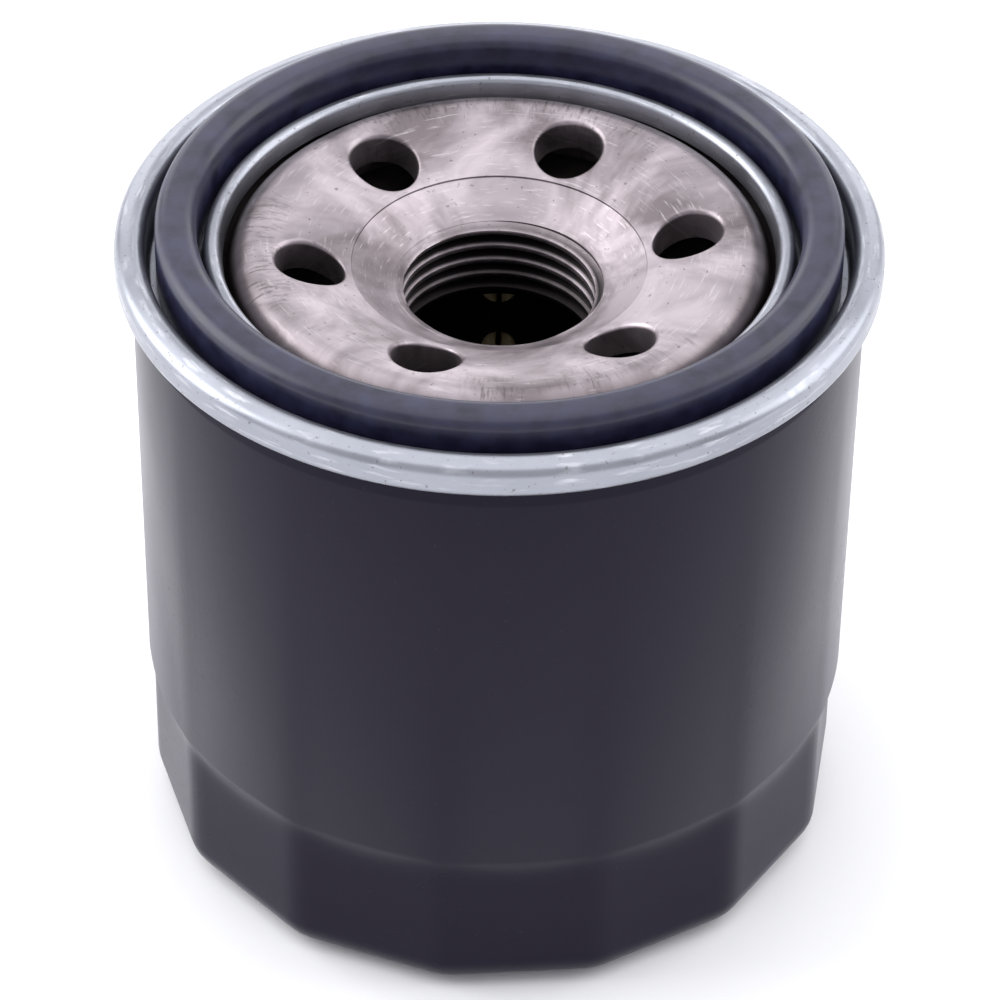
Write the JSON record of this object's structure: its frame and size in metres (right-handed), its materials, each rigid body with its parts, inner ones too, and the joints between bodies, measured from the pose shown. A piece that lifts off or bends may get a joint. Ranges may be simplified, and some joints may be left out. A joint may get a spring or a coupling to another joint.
{
  "type": "oil filter",
  "caption": "Spin-on engine oil filter: fluted painted canister, rolled lid seam, square-section gasket, tapped base plate with inlet holes, pleated element and bypass valve.",
  "frame": {"origin": "centre of the closed end's foot ring, on the plane that the filter stands on", "axes": "+Z along the filter's axis, out of the threaded end; +X and +Y square to it"},
  "size_m": [0.069, 0.069, 0.0655],
  "materials": {
    "painted_can": "satin dark violet-grey paint on steel sheet",
    "plated_lid": "zinc-plated steel sheet",
    "sealing_compound": "dried sealing compound",
    "bare_plate": "oiled bare steel, satin",
    "gasket_rubber": "moulded black rubber, satin",
    "spring_steel": "oiled spring steel",
    "valve_rubber": "moulded nitrile rubber",
    "tinned_cap": "tin-plated steel sheet",
    "filter_paper": "resin-treated cellulose paper",
    "bond_adhesive": "cured plastisol adhesive",
    "rivet_steel": "steel rivet"
  },
  "bodies": {
    "housing": {"canister": "painted_can", "seaming_lid": "plated_lid", "seam_compound": "sealing_compound", "base_plate": "bare_plate", "sealing_gasket": "gasket_rubber", "element_spring": "spring_steel"},
    "element": {"anti_drainback_valve": "valve_rubber", "upper_end_cap": "tinned_cap", "lower_end_cap": "tinned_cap", "pleated_media": "filter_paper", "media_seam_clip": "tinned_cap", "centre_tube": "tinned_cap", "upper_bond_ring": "bond_adhesive", "lower_bond_ring": "bond_adhesive", "bypass_valve_seat": "tinned_cap", "bypass_valve_cage": "tinned_cap", "bypass_spring": "spring_steel"},
    "bypass_valve": {"bypass_valve_disc": "tinned_cap", "bypass_valve_facing": "valve_rubber", "bypass_valve_rivet": "rivet_steel"}
  },
  "joints": [
    {"name": "element_float", "type": "slide", "parent": "housing", "child": "element", "axis": [0, 0, 1], "range_m": [-0.001, 0], "stiffness_N_per_m": 1700, "springref_m": 0.015, "deforming": ["element_spring"]},
    {"name": "bypass_valve_lift", "type": "slide", "parent": "element", "child": "bypass_valve", "axis": [0, 0, 1], "range_m": [0, 0.0025], "stiffness_N_per_m": 2300, "springref_m": -0.006, "deforming": ["bypass_spring"]}
  ]
}
